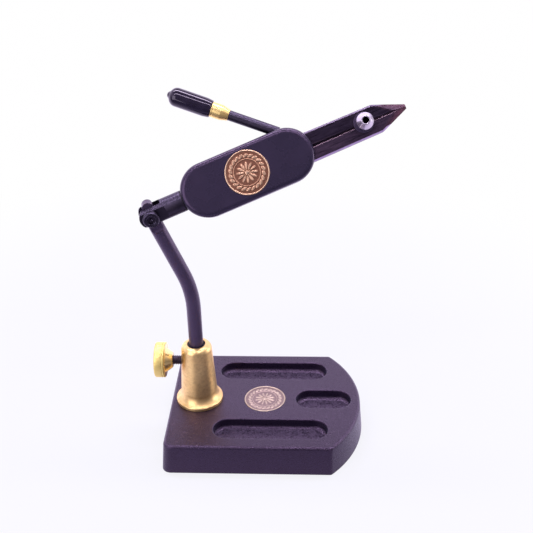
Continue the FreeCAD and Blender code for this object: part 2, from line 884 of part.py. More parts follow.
def spring_hole(side):
    depth = spring_split() + spring_hole_depth
    return Part.makeCylinder(spring_hole_radius, depth, point(spring_s, 0, 0), ALONG_Y * side)


def jaw_spring():
    """Space of the stiff coil spring that pushes the tails apart."""
    half = spring_split() + spring_hole_depth - face_clearance
    spring = Part.makeCylinder(spring_radius, 2 * half, point(spring_s, -half, 0), ALONG_Y)
    spring.Placement = jaw_frame()
    return spring


def jaw_bolt():
    half = jaw_half_thickness
    seat = -half - running_clearance
    tip = washer_face + jaw_washer_thickness + nut_height - nut_mouth_depth
    shank = rod(jaw_bolt_radius, seat, tip)
    head = rod(jaw_bolt_head_radius, seat - jaw_bolt_head_height, seat)
    head = head.makeFillet(jaw_bolt_head_height / 2, level_edges(head, seat - jaw_bolt_head_height))
    low = seat - jaw_bolt_head_height
    socket = hexagon(jaw_bolt_socket, low - overcut, low + jaw_bolt_socket_depth)
    bolt = shank.fuse(head).cut(socket).removeSplitter()
    bolt.translate(point(jaw_fulcrum, jaw_fulcrum_rise, 0))
    bolt.Placement = jaw_frame().multiply(bolt.Placement)
    return bolt


def jaw_washer():
    top = washer_face + jaw_washer_thickness
    ring = fulcrum_disc(jaw_washer_radius, washer_face, top)
    ring = ring.cut(fulcrum_disc(jaw_bolt_radius, washer_face - overcut, top + overcut))
    ring.Placement = jaw_frame()
    return ring


def jaw_nut():
    low = washer_face + jaw_washer_thickness
    top = low + nut_height
    floor = top - nut_mouth_depth
    nut = turned(
        (jaw_bolt_radius, low),
        (nut_radius, low),
        (nut_radius, low + nut_rim_height),
        (nut_top_radius, top),
        (nut_mouth_radius, top),
        (nut_mouth_radius, floor),
        (jaw_bolt_radius, floor))
    nut.translate(point(jaw_fulcrum, jaw_fulcrum_rise, 0))
    nut.Placement = jaw_frame().multiply(nut.Placement)
    return nut


def jaw_pins():
    pins = []
    for place in jaw_pin_places:
        pins.append(rod(jaw_pin_radius, -pin_half_length, pin_half_length, (place, -jaw_pin_offset)))
    group = Part.makeCompound(pins)
    group.Placement = jaw_frame()
    return group


# Lever

def lever_pin():
    pin = rod(lever_pin_radius, -pin_half_length, pin_half_length, (lever_pin_s, lever_pin_w))
    pin.Placement = head_frame()
    return pin


def lever_cam():
    """Lobe beside the pin that presses the tail of the upper jaw as the lever closes."""
    half = cam_thickness / 2
    rest = math.pi - jaw_half_swing
    pin = (lever_pin_s, lever_pin_w)
    lobe = (lever_pin_s + cam_throw * math.cos(rest), lever_pin_w + cam_throw * math.sin(rest))
    hub_disc = rod(cam_hub_radius, -half, half, pin)
    lobe_disc = rod(cam_lobe_radius, -half, half, lobe)
    # The two outer tangents of the discs close the lobe
    span = math.hypot(lobe[0] - pin[0], lobe[1] - pin[1])
    spread = math.acos((cam_lobe_radius - cam_hub_radius) / span)
    corners = []
    for side in (-1, 1):
        angle = rest + side * spread
        corners.append((pin[0] + cam_hub_radius * math.cos(angle), pin[1] + cam_hub_radius * math.sin(angle)))
        corners.append((lobe[0] + cam_lobe_radius * math.cos(angle),
                        lobe[1] + cam_lobe_radius * math.sin(angle)))
    web = outline("xy", corners[0], corners[1], lobe, corners[3], corners[2], pin)
    web.translate(point(0, 0, -half))
    cam = hub_disc.fuse(lobe_disc).fuse(web.extrude(point(0, 0, 2 * half))).removeSplitter()
    cam = cam.cut(rod(lever_pin_radius + running_clearance, -half - overcut, half + overcut, pin))
    # The lobe stays below the edge of the housing
    sky = 2 * (cam_throw + cam_lobe_radius)
    cam = cam.cut(block(point(lever_pin_s - sky, housing_half_width - cam_sink, -half - overcut),
                        point(lever_pin_s + sky, housing_half_width + sky, half + overcut)))
    cam.Placement = head_frame()
    socket = rod(lever_rod_radius, lever_rod_start, ferrule_start)
    socket.Placement = lever_frame()
    return cam.cut(socket)


def lever_rod():
    shaft = rod(lever_rod_radius, lever_rod_start, grip_start + lever_rod_in_grip)
    shaft.Placement = lever_frame()
    return shaft


def lever_ferrule():
    neck = ferrule_start + ferrule_taper_length
    ferrule = turned(
        (lever_rod_radius, ferrule_start),
        (ferrule_small_radius, ferrule_start),
        (ferrule_large_radius, neck),
        (ferrule_large_radius, grip_start),
        (lever_rod_radius, grip_start))
    ferrule.Placement = lever_frame()
    return ferrule


def lever_grip():
    end = grip_start + grip_length
    cap = end - grip_nipple_length
    dome_through = (grip_radius - ARC_MIDDLE * (grip_radius - grip_nipple_radius),
                    cap - ARC_MIDDLE * grip_dome)
    grip = turned(
        (0, grip_start),
        (grip_root_radius, grip_start),
        (grip_radius, grip_start + grip_swell),
        (grip_radius, cap - grip_dome),
        (dome_through, (grip_nipple_radius, cap)),
        (grip_nipple_radius, end),
        (0, end))
    grip = grip.cut(rod(lever_rod_radius, grip_start - overcut, grip_start + lever_rod_in_grip))
    grip.Placement = lever_frame()
    return grip


NODES = {
    "base_plate": base_plate,
    "base_pad": base_pad,
    "base_medallion": base_medallion,
    "pedestal": pedestal,
    "pedestal_screw": pedestal_screw,
    "stem_sleeve": stem_sleeve,
    "thumb_tip": thumb_tip,
    "thumb_stud": thumb_stud,
    "thumb_knob": thumb_knob,
    "stem": stem,
    "knuckle_fork": knuckle_fork,
    "knuckle_screw": knuckle_screw,
    "shaft_clip": shaft_clip,
    "shaft_washer": shaft_washer,
    "head_shell_front": head_shell_front,
    "head_shell_back": head_shell_back,
    "head_screws": head_screws,
    "head_medallion": head_medallion,
    "upper_jaw": upper_jaw,
    "lower_jaw": lower_jaw,
    "jaw_spring": jaw_spring,
    "jaw_bolt": jaw_bolt,
    "jaw_washer": jaw_washer,
    "jaw_nut": jaw_nut,
    "jaw_pins": jaw_pins,
    "lever_pin": lever_pin,
    "lever_cam": lever_cam,
    "lever_rod": lever_rod,
    "lever_ferrule": lever_ferrule,
    "lever_grip": lever_grip,
}

os.makedirs("parts", exist_ok=True)
for name, make in NODES.items():
    shape = make()
    shape.exportStep("parts/" + name + ".step")
    print(name, len(shape.Solids), round(shape.Volume, 2), shape.isValid())
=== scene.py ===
import bpy
import json
import math
from mathutils import Matrix, Vector


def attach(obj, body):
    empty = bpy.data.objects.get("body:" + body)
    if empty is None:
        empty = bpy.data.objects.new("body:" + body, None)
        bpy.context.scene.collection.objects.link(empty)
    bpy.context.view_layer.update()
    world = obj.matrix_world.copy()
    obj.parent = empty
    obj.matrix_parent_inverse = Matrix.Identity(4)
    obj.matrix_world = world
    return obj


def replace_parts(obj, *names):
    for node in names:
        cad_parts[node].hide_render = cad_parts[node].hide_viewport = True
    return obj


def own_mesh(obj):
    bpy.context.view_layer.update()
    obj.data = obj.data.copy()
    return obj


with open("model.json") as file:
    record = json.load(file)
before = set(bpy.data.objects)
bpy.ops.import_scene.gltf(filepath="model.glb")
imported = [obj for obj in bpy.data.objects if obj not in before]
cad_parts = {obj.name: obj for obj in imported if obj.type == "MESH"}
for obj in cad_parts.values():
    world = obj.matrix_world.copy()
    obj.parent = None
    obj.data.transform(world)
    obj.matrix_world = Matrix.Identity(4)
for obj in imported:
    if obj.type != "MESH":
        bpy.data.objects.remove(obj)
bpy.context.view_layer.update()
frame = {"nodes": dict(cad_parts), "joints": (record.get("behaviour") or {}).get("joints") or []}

MM = 0.001
NODES = frame["nodes"]
JOINTS = {joint["name"]: joint for joint in frame["joints"]}

# Camera fitted to the photograph: its place in millimetres, its turns in radians
CAMERA_PLACE = (77.25, -503.71, 409.61)
CAMERA_PITCH = 0.51262
CAMERA_ROLL = -0.02454
CAMERA_YAW = 0.05721
FOCAL_PIXELS = 911.5
PICTURE_PIXELS = 533
SENSOR_WIDTH = 36

# Angles of the modelled pose, as in the solids
STEM_SWIVEL = math.radians(13.2)
HEAD_TILT = math.radians(19.3)
HEAD_ROLL = math.radians(28.4)
LEVER_ANGLE = math.radians(180 - 42.0)

# Sizes in millimetres, as in the solids. Pairs are places in the head's plane,
# or a medallion's place along its part and its radius.
BASE_TOP = 20.9
THUMB_HEIGHT = 32.0
STUD_START = 7.6625
STUD_END = 26.2
QUARTER_INCH_RADIUS = 3.175
SCREW_PITCH = 1.27
HUB_END = 16.5
HUB_LENGTH = 4.7
KNOB_THICKNESS = 7.0
KNOB_RADIUS = 11.9
HOUSING_HALF = 8.1
MEDALLION_STAND = 0.2
MEDALLION_THICKNESS = 1.8
HEAD_MEDALLION = (64.8, 13.7)
BASE_MEDALLION = (45.1, 14.1)
FULCRUM = (141.5, 0.4)
JAW_RISE = -0.4
NUT_BOTTOM = 5.71
NUT_HEIGHT = 12.0
KNUCKLE_FLAT = 5.2
KNUCKLE_SCREW_END = -5.84
SPRING_S = 84.0
SPRING_HALF = 4.6
LEVER_PIN = (94.1, 13.5)
FERRULE_START = 34.9
FERRULE_LENGTH = 11.3
GRIP_LENGTH = 28.3

# Radius of the points where a turned surface closes on its axis
ON_AXIS = 0.001


# Camera

def look_from(spot, pitch, roll, yaw, lens):
    forward = Vector((-math.sin(yaw) * math.cos(pitch), math.cos(yaw) * math.cos(pitch),
                      -math.sin(pitch)))
    level = Vector((math.cos(yaw), math.sin(yaw), 0))
    up = level.cross(forward)
    right = math.cos(roll) * level + math.sin(roll) * up
    top = -math.sin(roll) * level + math.cos(roll) * up
    data = bpy.data.cameras.new("camera")
    data.lens = lens
    data.sensor_width = SENSOR_WIDTH
    data.clip_start = 0.01
    data.clip_end = 20
    camera = bpy.data.objects.new("camera", data)
    bpy.context.scene.collection.objects.link(camera)
    turn = Matrix((right, top, -forward)).transposed().to_4x4()
    camera.matrix_world = Matrix.Translation(Vector(spot) * MM) @ turn
    bpy.context.scene.camera = camera


look_from(CAMERA_PLACE, CAMERA_PITCH, CAMERA_ROLL, CAMERA_YAW,
          FOCAL_PIXELS / PICTURE_PIXELS * SENSOR_WIDTH)


# Frames of the parts

def place(x, y, z):
    return Matrix.Translation(Vector((x, y, z)) * MM)


STEM = Matrix.Rotation(STEM_SWIVEL, 4, "Z")
PIVOT = Matrix.Translation(Vector(JOINTS["knuckle_tilt"]["pos_m"]))
TILT = Matrix.Rotation(HEAD_TILT, 4, Vector((0, -1, 0))) @ Matrix.Rotation(math.radians(90), 4, "X")
KNUCKLE = PIVOT @ STEM @ TILT
HEAD = KNUCKLE @ Matrix.Rotation(-HEAD_ROLL, 4, "X")
THUMB = place(0, 0, BASE_TOP + THUMB_HEIGHT) @ Matrix.Rotation(math.radians(-90), 4, "Y")


def along_in_head(s, w, angle):
    """Frame at a point of the head's plane, with Z along a direction in that plane."""
    axis = Vector((math.cos(angle), math.sin(angle), 0))
    return HEAD @ place(s, w, 0) @ axis.to_track_quat("Z", "Y").to_matrix().to_4x4()


LEVER = along_in_head(LEVER_PIN[0], LEVER_PIN[1], LEVER_ANGLE)


# Shader nodes

# Sockets of the mix node that carry colours; it has others of the same names
FIRST_COLOR, SECOND_COLOR, MIXED_COLOR = 6, 7, 2


class Nodes:
    """Short ways to add nodes to a material or to the world."""

    def __init__(self, tree):
        self.tree = tree

    def add(self, kind, **settings):
        node = self.tree.nodes.new(kind)
        for key, value in settings.items():
            setattr(node, key, value)
        return node

    def link(self, source, target):
        self.tree.links.new(source, target)

    def feed(self, value, socket):
        """Give a socket a number, a colour or the output of another node."""
        if isinstance(value, (int, float)):
            socket.default_value = value
        elif isinstance(value, tuple):
            socket.default_value = (*value, 1.0)
        else:
            self.link(value, socket)

    def math(self, operation, *values):
        node = self.add("ShaderNodeMath", operation=operation)
        for socket, value in zip(node.inputs, values):
            self.feed(value, socket)
        return node.outputs["Value"]

    def product(self, first, *others):
        for other in others:
            first = self.math("MULTIPLY", first, other)
        return first

    def measure(self, operation, vector, other=None):
        """Length of a vector, or its dot product with another."""
        node = self.add("ShaderNodeVectorMath", operation=operation)
        self.link(vector, node.inputs[0])
        if other is not None:
            node.inputs[1].default_value = other
        return node.outputs["Value"]

    def part(self, vector, axis):
        """One coordinate of a vector."""
        node = self.add("ShaderNodeSeparateXYZ")
        self.link(vector, node.inputs["Vector"])
        return node.outputs[axis]

    def remap(self, value, given, wanted, interpolation="LINEAR"):
        """Turn one range of numbers into another, and stay at its ends outside."""
        node = self.add("ShaderNodeMapRange", interpolation_type=interpolation)
        names = ("From Min", "From Max", "To Min", "To Max")
        for name, number in zip(names, (*given, *wanted)):
            node.inputs[name].default_value = number
        self.link(value, node.inputs["Value"])
        return node.outputs["Result"]

    def fade(self, value, given, wanted):
        return self.remap(value, given, wanted, "SMOOTHSTEP")

    def mix(self, factor, first, second, blend="MIX"):
        node = self.add("ShaderNodeMix", data_type="RGBA", blend_type=blend)
        self.feed(factor, node.inputs["Factor"])
        self.feed(first, node.inputs[FIRST_COLOR])
        self.feed(second, node.inputs[SECOND_COLOR])
        return node.outputs[MIXED_COLOR]


# Materials

class Shader(Nodes):
    """Material of a piece, with patterns in the piece's own coordinates."""

    def __init__(self, name, **values):
        self.material = bpy.data.materials.new(name)
        self.material.use_nodes = True
        super().__init__(self.material.node_tree)
        self.surface = self.tree.nodes["Principled BSDF"]
        for key, value in values.items():
            label = key.replace("_", " ").title().replace("Ior", "IOR")
            self.surface.inputs[label].default_value = value
        source = self.add("ShaderNodeTexCoord")
        self.coordinates = source.outputs["Object"]
        self.normals = source.outputs["Normal"]

    def noise(self, scale, detail, rough=0.55, stretch=None):
        node = self.add("ShaderNodeTexNoise")
        node.inputs["Scale"].default_value = scale
        node.inputs["Detail"].default_value = detail
        node.inputs["Roughness"].default_value = rough
        source = self.coordinates
        if stretch:
            mapping = self.add("ShaderNodeMapping")
            mapping.inputs["Scale"].default_value = stretch
            self.link(source, mapping.inputs["Vector"])
            source = mapping.outputs["Vector"]
        self.link(source, node.inputs["Vector"])
        return node.outputs["Fac"]

    def ramp(self, factor, *stops):
        node = self.add("ShaderNodeValToRGB")
        ramp = node.color_ramp
        while len(ramp.elements) < len(stops):
            ramp.elements.new(0.5)
        for element, (position, color) in zip(ramp.elements, stops):
            element.position = position
            element.color = (*color, 1.0)
        self.link(factor, node.inputs["Fac"])
        return node.outputs["Color"]

    def color(self, source):
        self.link(source, self.surface.inputs["Base Color"])

    def rough(self, source):
        self.link(source, self.surface.inputs["Roughness"])

    def bump(self, height, strength, depth, rounding=0.0):
        """Bump of a depth in millimetres, and edges rounded to the eye by a radius in them."""
        node = self.add("ShaderNodeBump")
        node.inputs["Strength"].default_value = strength
        node.inputs["Distance"].default_value = depth * MM
        self.link(height, node.inputs["Height"])
        if rounding:
            bevel = self.add("ShaderNodeBevel", samples=6)
            bevel.inputs["Radius"].default_value = rounding * MM
            self.link(bevel.outputs["Normal"], node.inputs["Normal"])
        self.link(node.outputs["Normal"], self.surface.inputs["Normal"])


PURPLE_GLOSS = (0.84, 0.56, 1.0, 1)


def base_coat():
    """Coarse wrinkle finish of the base, with painted sparkling highlights in the pockets and along
    the rounded edges.
    """
    shader = Shader("base_wrinkle_coat", specular_ior_level=0.75, specular_tint=PURPLE_GLOSS,
                    sheen_weight=0.10, sheen_roughness=0.4, sheen_tint=(0.46, 0.43, 0.85, 1))
    broad = shader.noise(45, detail=5)
    grain = shader.noise(1100, detail=3, rough=0.6)
    tone = shader.ramp(broad, (0.3, (0.003, 0.0032, 0.0058)), (0.7, (0.0045, 0.004, 0.0085)))
    speck = shader.ramp(grain, (0.36, (0.35, 0.33, 0.37)), (0.66, (2.2, 2.0, 2.3)))
    paint = shader.mix(1.0, tone, speck, "MULTIPLY")
    # Bright grainy specks, a painted highlight for the pocket floors and rounded edges
    painted_sparkle_highlight = shader.ramp(grain, (0.42, (0.012, 0.009, 0.018)), (0.66, (0.080, 0.062, 0.104)))
    upward = shader.part(shader.normals, "Z")
    height = shader.part(shader.coordinates, "Z")
    # Pocket floors face up and lie below the top, a rounded edge slants just below it; both get a
    # painted highlight of bright grainy specks
    below_top = (0.0180, 0.0195)
    at_edge = (0.0199, 0.0202)
    sunk = shader.product(shader.remap(height, below_top, (1.0, 0.0)),
                          shader.remap(upward, (0.3, 0.8), (0.0, 1.0)))
    edge = shader.product(shader.remap(upward, (0.99, 0.96), (0.0, 1.0)),
                          shader.remap(upward, (0.76, 0.86), (0.0, 1.0)),
                          shader.remap(height, at_edge, (0.0, 0.7)))
    # Painted highlight: the bright specks replace the paint on pocket floors and rounded edges
    shader.color(shader.mix(shader.math("MAXIMUM", sunk, edge), paint, painted_sparkle_highlight))
    shader.rough(shader.remap(grain, (0.3, 0.7), (0.24, 0.38)))
    shader.bump(grain, strength=0.8, depth=0.34, rounding=1.2)
    return shader.material


def satin_coat(name, dark, light, rough, gloss, grain=0.12, specks=None):
    """Smooth satin paint with faint orange peel and, where given, small specks of a colour."""
    shader = Shader(name, specular_ior_level=gloss, specular_tint=PURPLE_GLOSS)
    broad = shader.noise(60, detail=4)
    color = shader.ramp(broad, (0.3, dark), (0.72, light))
    if specks:
        spots = shader.remap(shader.noise(650, detail=2), (0.60, 0.70), (0.0, 1.0))
        color = shader.mix(spots, color, specks)
    shader.color(color)
    shader.rough(shader.remap(broad, (0.25, 0.75), (rough - 0.05, rough + 0.06)))
    shader.bump(shader.noise(900, detail=3), strength=grain, depth=0.05, rounding=0.25)
    return shader.material


def black_oxide():
    """Smooth blackened steel with a deep grey metal sheen."""
    shader = Shader("black_oxide_steel", metallic=1.0)
    broad = shader.noise(150, detail=5)
    shader.color(shader.ramp(broad, (0.3, (0.048, 0.041, 0.067)), (0.7, (0.078, 0.063, 0.100))))
    shader.rough(shader.remap(broad, (0.25, 0.75), (0.36, 0.44)))
    shader.bump(shader.noise(900, detail=3), strength=0.04, depth=0.03, rounding=0.25)
    return shader.material


def head_coordinates(shader):
    """The shader's coordinates, turned so that they lie along the tilted head."""
    inverse = HEAD.inverted()
    mapping = shader.add("ShaderNodeMapping", vector_type="POINT")
    mapping.inputs["Location"].default_value = inverse.to_translation()
    mapping.inputs["Rotation"].default_value = inverse.to_euler("XYZ")
    shader.link(shader.coordinates, mapping.inputs["Vector"])
    return mapping.outputs["Vector"]


def jaw_steel():
    """Black oxide steel with a painted reflection that makes its chamfers bright, browned by heat
    towards the tips.
    """
    shader = Shader("jaw_black_oxide", specular_ior_level=0.5, specular_tint=PURPLE_GLOSS)
    facing = shader.measure("DOT_PRODUCT", shader.normals, HEAD.to_3x3() @ Vector((0, 0, 1)))
    square = shader.math("ABSOLUTE", facing)
    shader.coordinates = head_coordinates(shader)
    along = shader.part(shader.coordinates, "X")
    # Height above the parting line of the jaws
    across = shader.math("ADD", shader.part(shader.coordinates, "Y"), -JAW_RISE * MM)
    outward = shader.math("ABSOLUTE", across)
    broad = shader.noise(120, detail=5)
    streaks = shader.noise(900, detail=3, rough=0.6, stretch=(0.12, 1.0, 1.0))
    lower = shader.ramp(streaks, (0.3, (0.011, 0.008, 0.014)), (0.75, (0.042, 0.026, 0.042)))
    upper = shader.ramp(streaks, (0.3, (0.001, 0.001, 0.003)), (0.75, (0.012, 0.010, 0.017)))
    body = shader.mix(shader.remap(across, (-0.001, 0.001), (0.0, 1.0)), lower, upper)
    brown = shader.ramp(streaks, (0.3, (0.046, 0.016, 0.026)), (0.7, (0.150, 0.064, 0.080)))
    # The heat colour starts at the slanting cheeks, at this distance along the head
    heat_start = (0.1600, 0.1665)
    cheek = shader.math("ADD", along, shader.math("MULTIPLY", outward, 1.35))
    edge = shader.math("ADD", cheek, shader.remap(broad, (0.3, 0.7), (-0.0012, 0.0012)))
    base = shader.mix(shader.remap(edge, heat_start, (0.0, 1.0)), body, brown)
    # The chamfers are the faces at a slant to the side of the jaws
    chamfer = shader.product(shader.remap(square, (0.55, 0.62), (0.0, 1.0)),
                             shader.remap(square, (0.78, 0.86), (1.0, 0.0)))
    # The upper lip of the parting line gets no painted reflection and stays dark
    lip = shader.remap(across, (0.0, 0.0002), (1.0, 0.0))
    outer = shader.remap(outward, (0.0008, 0.0012), (0.0, 1.0))
    # Painted reflection: the chamfers get a light metal colour in place of the bright studio they
    # reflect
    chamfer_reflection_mask = shader.product(chamfer, shader.math("MAXIMUM", lip, outer),
                          shader.remap(broad, (0.25, 0.6), (0.6, 1.0)))
    # The painted reflection is bright lavender below the parting line and dim above it
    chamfer_reflection_color = shader.mix(shader.remap(across, (-0.002, 0.002), (0.0, 1.0)),
                        (0.66, 0.50, 0.80), (0.15, 0.12, 0.18))
    # The painted reflection is duller on the thin edges along the parting line
    chamfer_reflection_color = shader.mix(shader.remap(outward, (0.002, 0.004), (1.0, 0.0)),
                        chamfer_reflection_color, (0.22, 0.15, 0.19))
    shader.color(shader.mix(chamfer_reflection_mask, base, chamfer_reflection_color))
    shader.link(chamfer_reflection_mask, shader.surface.inputs["Metallic"])
    shader.rough(shader.remap(streaks, (0.3, 0.7), (0.24, 0.42)))
    shader.bump(streaks, strength=0.2, depth=0.04, rounding=0.1)
    return shader.material


def turned_metal(name, bright, stain, rough, knurls=0, mottle=0.0):
    """Metal from the lathe with fine rings round its axis and a little tarnish.

    Where asked, it has a fine straight knurl and mottled spots.
    """
    # Rings spread a reflection along the axis, a straight knurl round it
    shader = Shader(name, metallic=1.0, anisotropic=0.85 if knurls else 0.6,
                    anisotropic_rotation=0.0 if knurls else 0.25)
    broad = shader.noise(70, detail=5)
    fine = shader.noise(1500, detail=2)
    tone = shader.ramp(broad, (0.28, stain), (0.63, bright))
    if mottle:
        spots = shader.remap(shader.noise(420, detail=5, rough=0.7), (0.42, 0.66), (0.0, mottle))
        tone = shader.mix(spots, tone, tuple(0.72 * channel for channel in stain))
    shader.color(tone)
    shader.rough(shader.remap(broad, (0.25, 0.75), (rough + 0.07, rough - 0.03)))
    # Radians per metre, for a ring every 0.9 mm
    ring_rate = 7000.0
    height = shader.part(shader.coordinates, "Z")
    rings = shader.math("SINE", shader.math("MULTIPLY", height, ring_rate))
    total = shader.math("ADD", shader.math("MULTIPLY", rings, 0.5), fine)
    if knurls:
        turn = shader.math("ARCTAN2", shader.part(shader.coordinates, "Y"),
                           shader.part(shader.coordinates, "X"))
        ridge = shader.math("SINE", shader.math("MULTIPLY", turn, knurls))
        total = shader.math("ADD", total, shader.math("MULTIPLY", ridge, 2.0))
    shader.bump(total, strength=0.12, depth=0.03, rounding=0.25)
    return shader.material


def plain_metal(name, bright, stain, rough):
    """Bare metal with a little tarnish."""
    shader = Shader(name, metallic=1.0)
    broad = shader.noise(110, detail=5)
    shader.color(shader.ramp(broad, (0.3, stain), (0.62, bright)))
    shader.rough(shader.remap(broad, (0.25, 0.75), (rough + 0.08, rough - 0.03)))
    shader.bump(shader.noise(1200, detail=3), strength=0.1, depth=0.03, rounding=0.2)
    return shader.material


def medallion_bronze(name, low, middle, high):
    """Antique bronze: dark in the hollows and burnished bright on the raised parts."""
    shader = Shader(name, metallic=1.0)
    height = shader.part(shader.coordinates, "Z")
    broad = shader.noise(260, detail=5)
    level = shader.math("ADD", shader.remap(height, (-0.0004, 0.0), (0.0, 1.0)),
                        shader.remap(broad, (0.3, 0.7), (-0.12, 0.12)))
    shader.color(shader.ramp(level, (0.10, low), (0.55, middle), (0.95, high)))
    shader.rough(shader.remap(level, (0.0, 1.0), (0.5, 0.34)))
    shader.bump(shader.noise(2500, detail=3), strength=0.2, depth=0.03)
    return shader.material


def grip_vinyl():
    """Dipped glossy vinyl, faintly uneven."""
    shader = Shader("grip_dipped_vinyl", specular_ior_level=0.58,
                    specular_tint=(0.92, 0.82, 1.0, 1))
    broad = shader.noise(150, detail=3)
    shader.color(shader.ramp(broad, (0.3, (0.009, 0.006, 0.017)), (0.7, (0.014, 0.010, 0.024))))
    shader.rough(shader.remap(broad, (0.3, 0.7), (0.06, 0.09)))
    shader.bump(shader.noise(120, detail=2), strength=0.05, depth=0.1)
    return shader.material


def dull(name, dark, light, rough):
    """Nylon or rubber with a fine moulded grain."""
    shader = Shader(name, specular_ior_level=0.3)
    broad = shader.noise(90, detail=4)
    shader.color(shader.ramp(broad, (0.3, dark), (0.7, light)))
    shader.rough(shader.remap(broad, (0.3, 0.7), (rough - 0.06, rough + 0.06)))
    shader.bump(shader.noise(1600, detail=3), strength=0.3, depth=0.08, rounding=0.2)
    return shader.material


COAT = base_coat()
SHELL = satin_coat("housing_satin_coat", dark=(0.0180, 0.0160, 0.030),
                   light=(0.0200, 0.0170, 0.033), rough=0.28, gloss=0.6, grain=0.06)
ROD = satin_coat("bar_satin_coat", dark=(0.032, 0.024, 0.047), light=(0.050, 0.038, 0.066),
                 rough=0.34, gloss=0.6, specks=(0.060, 0.030, 0.036))
WASHER = satin_coat("washer_grey_steel", dark=(0.040, 0.031, 0.056), light=(0.056, 0.043, 0.076),
                    rough=0.35, gloss=0.6)
# Near-black paint for the nut's bore: painted shade inside the hole
PAINTED_SHADE_BORE = satin_coat("painted_bore_shade", dark=(0.002, 0.002, 0.003), light=(0.004, 0.003, 0.005),
                  rough=0.6, gloss=0.1)
BLACK = black_oxide()
JAW = jaw_steel()
PEDESTAL = turned_metal("pedestal_brass", bright=(1.0, 0.74, 0.33), stain=(0.84, 0.56, 0.24),
                        rough=0.37, mottle=0.55)
KNOB = turned_metal("bright_brass", bright=(0.98, 0.80, 0.38), stain=(0.90, 0.69, 0.28),
                    rough=0.25)
RIM = turned_metal("knob_rim_brass", bright=(0.86, 0.70, 0.26), stain=(0.78, 0.60, 0.20),
                   rough=0.38, knurls=90)
RING = turned_metal("ferrule_brass", bright=(0.98, 0.75, 0.31), stain=(0.90, 0.63, 0.24),
                    rough=0.42)
BRONZE = medallion_bronze("antique_bronze", low=(0.25, 0.115, 0.075), middle=(0.60, 0.355, 0.225),
                          high=(0.80, 0.56, 0.38))
PALE_BRONZE = medallion_bronze("pale_bronze", low=(0.24, 0.175, 0.170), middle=(0.39, 0.30, 0.26),
                               high=(0.52, 0.43, 0.33))
NUT = turned_metal("turned_steel", bright=(0.71, 0.65, 0.77), stain=(0.50, 0.44, 0.54), rough=0.30)
STEEL = plain_metal("plain_steel", bright=(0.5, 0.5, 0.52), stain=(0.36, 0.35, 0.37), rough=0.35)
SPRING = plain_metal("spring_steel", bright=(0.32, 0.31, 0.33), stain=(0.2, 0.19, 0.2),
                     rough=0.35)
GRIP = grip_vinyl()
NYLON = dull("black_nylon", dark=(0.006, 0.005, 0.007), light=(0.010, 0.009, 0.012), rough=0.5)
TIP = dull("white_nylon", dark=(0.66, 0.65, 0.6), light=(0.74, 0.73, 0.69), rough=0.5)
RUBBER = dull("pad_rubber", dark=(0.012, 0.012, 0.012), light=(0.02, 0.02, 0.021), rough=0.7)

FINISH = {
    "base_plate": COAT, "base_pad": RUBBER, "base_medallion": PALE_BRONZE,
    "pedestal": PEDESTAL, "pedestal_screw": STEEL,
    "stem_sleeve": NYLON, "stem": ROD,
    "thumb_tip": TIP, "thumb_stud": BLACK, "thumb_knob": KNOB,
    # The shaft washer's near-black nylon also serves as painted shade in the junction of fork and
    # housing
    "knuckle_fork": BLACK, "knuckle_screw": BLACK, "shaft_clip": BLACK, "shaft_washer": NYLON,
    "head_shell_front": SHELL, "head_shell_back": SHELL, "head_screws": BLACK,
    "head_medallion": BRONZE,
    "upper_jaw": JAW, "lower_jaw": JAW, "jaw_spring": SPRING, "jaw_bolt": BLACK,
    "jaw_washer": WASHER, "jaw_nut": NUT, "jaw_pins": STEEL,
    "lever_pin": STEEL, "lever_cam": BLACK, "lever_rod": BLACK, "lever_ferrule": RING,
    "lever_grip": GRIP,
}
for name, material in FINISH.items():
    node = NODES[name]
    node.data.materials.clear()
    node.data.materials.append(material)


# Meshes

def make_piece(name, points, faces, matrix, material, body, sharp=35):
    """Piece with its points in millimetres; edges past the angle in degrees stay sharp."""
    mesh = bpy.data.meshes.new(name)
    mesh.from_pydata([Vector(p) * MM for p in points], [], faces)
    mesh.update()
    mesh.materials.append(material)
    piece = bpy.data.objects.new(name, mesh)
    bpy.context.scene.collection.objects.link(piece)
    piece.matrix_world = matrix
    mesh.shade_smooth()
    mesh.set_sharp_from_angle(angle=math.radians(sharp))
    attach(piece, body)
    return piece


def round_point(radius, angle, height):
    return (radius * math.cos(angle), radius * math.sin(angle), height)


def around_axis(count):
    """Angles of evenly spread points round an axis."""
    return [2 * math.pi * turn / count for turn in range(count)]


def tube_faces(rings, around, inward=False):
    """Faces between rings of points, each ring closed round an axis."""
    faces = []
    for ring in range(rings - 1):
        here = ring * around
        there = (ring + 1) * around
        for turn in range(around):
            following = (turn + 1) % around
            a, b, c, d = here + turn, here + following, there + following, there + turn
            faces.append((a, d, c, b) if inward else (a, b, c, d))
    return faces


def end_face(ring, around, downward=False):
    """Flat face on one ring of points."""
    face = tuple(range(ring * around, (ring + 1) * around))
    return face[::-1] if downward else face


def rounded(profile, radii, steps=5):
    """Profile with arcs in place of its corners; radii lists one radius for each point."""
    result = []
    last = len(profile) - 1
    for number, (corner, radius) in enumerate(zip(profile, radii)):
        here = Vector(corner)
        if number in (0, last) or radius <= 0:
            result.append(here)
            continue
        before = (Vector(profile[number - 1]) - here).normalized()
        after = (Vector(profile[number + 1]) - here).normalized()
        half = before.angle(after) / 2
        back = radius / math.tan(half)
        centre = here + (before + after).normalized() * (radius / math.sin(half))
        start = here + before * back - centre
        end = here + after * back - centre
        turn = start.angle_signed(end)
        for step in range(steps + 1):
            angle = -turn * step / steps
            result.append(centre + Matrix.Rotation(angle, 2) @ start)
    return result


def lathe(profile, around=96):
    """Points and faces of a surface of revolution about Z, from radii and heights."""
    points = [round_point(radius, angle, height)
              for radius, height in profile for angle in around_axis(around)]
    return points, tube_faces(len(profile), around)


# Thumb screw

